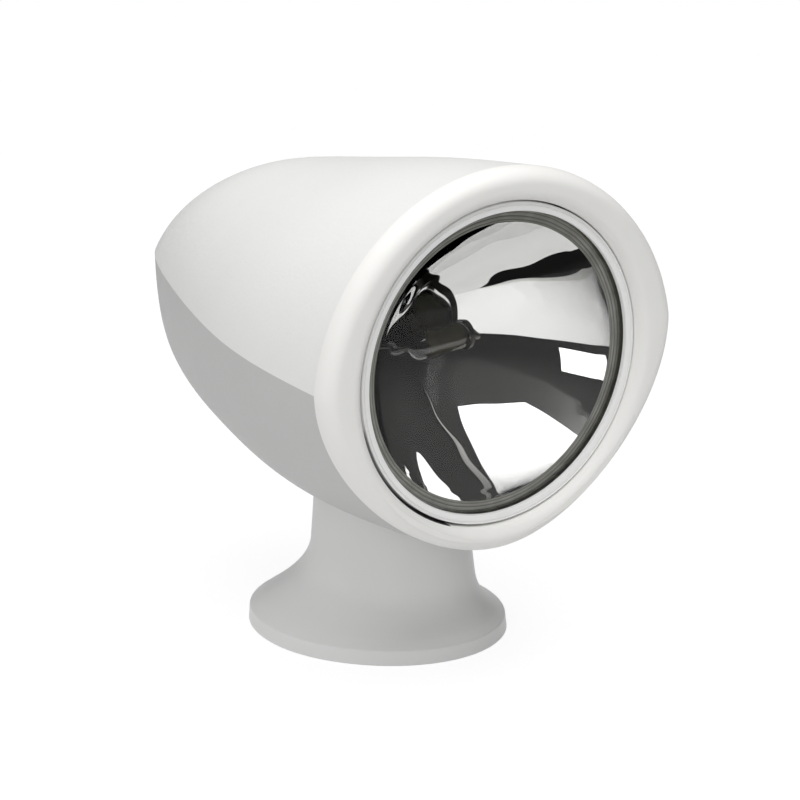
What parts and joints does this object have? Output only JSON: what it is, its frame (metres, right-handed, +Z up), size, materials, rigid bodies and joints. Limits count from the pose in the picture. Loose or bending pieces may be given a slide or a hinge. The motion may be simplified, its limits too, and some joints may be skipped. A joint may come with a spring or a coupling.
{
  "type": "adjustable spotlight",
  "caption": "Boat searchlight: egg-shaped head with a sealed-beam lamp that pans and tilts on an oval, flared pedestal bolted to the deck.",
  "frame": {"origin": "on the pan axis, on the underside of the foot, at the centre of the deck-bolt circle", "axes": "+Z points up along the pan axis, away from the deck; the beam points along -Y; X runs across the head, along the tilt axis"},
  "size_m": [0.15, 0.2013, 0.1934],
  "materials": {
    "shell": "fine orange-peel grain",
    "pedestal": "smooth satin",
    "bezel": "fine grain, slightly warm white",
    "ring": "smooth",
    "lens": "clear, smooth",
    "silvering": "bright",
    "burner": "dull olive",
    "wire": "drawn",
    "brass": "turned",
    "steel": "stainless",
    "alloy": "cast",
    "gear": "moulded",
    "motor": "drawn can",
    "gearbox": "moulded",
    "seal": "soft",
    "bush": "moulded",
    "carrier": "moulded"
  },
  "bodies": {
    "pedestal": {"pedestal_shell": "pedestal", "base_plate": "pedestal", "base_gasket": "seal", "plate_screws": "steel", "deck_inserts": "brass", "cable_grommet": "seal", "pan_spindle": "steel", "thrust_washer": "bush", "keeper_washer": "steel", "spindle_nut": "steel", "pan_gear": "gear", "gear_screws": "steel"},
    "turret": {"turret_chassis": "alloy", "pan_bush": "bush", "pan_gearbox": "gearbox", "pan_motor": "motor", "tilt_gearbox": "gearbox", "tilt_motor": "motor", "motor_screws": "steel", "pivot_pins": "steel"},
    "head": {"upper_head_shell": "shell", "lower_head_shell": "shell", "shell_screws": "steel", "pivot_bushes": "bush", "tilt_sector": "gear", "sector_screws": "steel", "bezel_ring": "bezel", "bezel_gasket": "seal", "bezel_screws": "steel", "retaining_ring": "ring", "lamp_carrier": "carrier", "lamp_gasket": "seal", "lamp_lens": "lens", "lamp_reflector": "silvering", "bulb_capsule": "burner", "bulb_leads": "wire", "lamp_terminals": "brass"},
    "pan_drive": {"pan_pinion": "steel"},
    "tilt_drive": {"tilt_pinion": "steel"}
  },
  "joints": [
    {"name": "pan", "type": "hinge", "parent": "pedestal", "child": "turret", "pos_m": [0, 0, 0.07], "axis": [0, 0, 1], "range_deg": [-159.2, 210.8]},
    {"name": "tilt", "type": "hinge", "parent": "turret", "child": "head", "pos_m": [0, 0, 0.117], "axis": [-1, 0, 0], "range_deg": [-20, 30]},
    {"name": "pan_pinion_spin", "type": "hinge", "parent": "turret", "child": "pan_drive", "pos_m": [0, 0.0272, 0.07], "axis": [0, 0, 1], "range_deg": [-745, 985]},
    {"name": "tilt_pinion_spin", "type": "hinge", "parent": "turret", "child": "tilt_drive", "pos_m": [0.031, 0, 0.0882], "axis": [-1, 0, 0], "range_deg": [-151, 101]}
  ],
  "couplings": [
    {"joint": "pan_pinion_spin", "follows": "pan", "ratio": 4.6667},
    {"joint": "tilt_pinion_spin", "follows": "tilt", "ratio": -5}
  ]
}
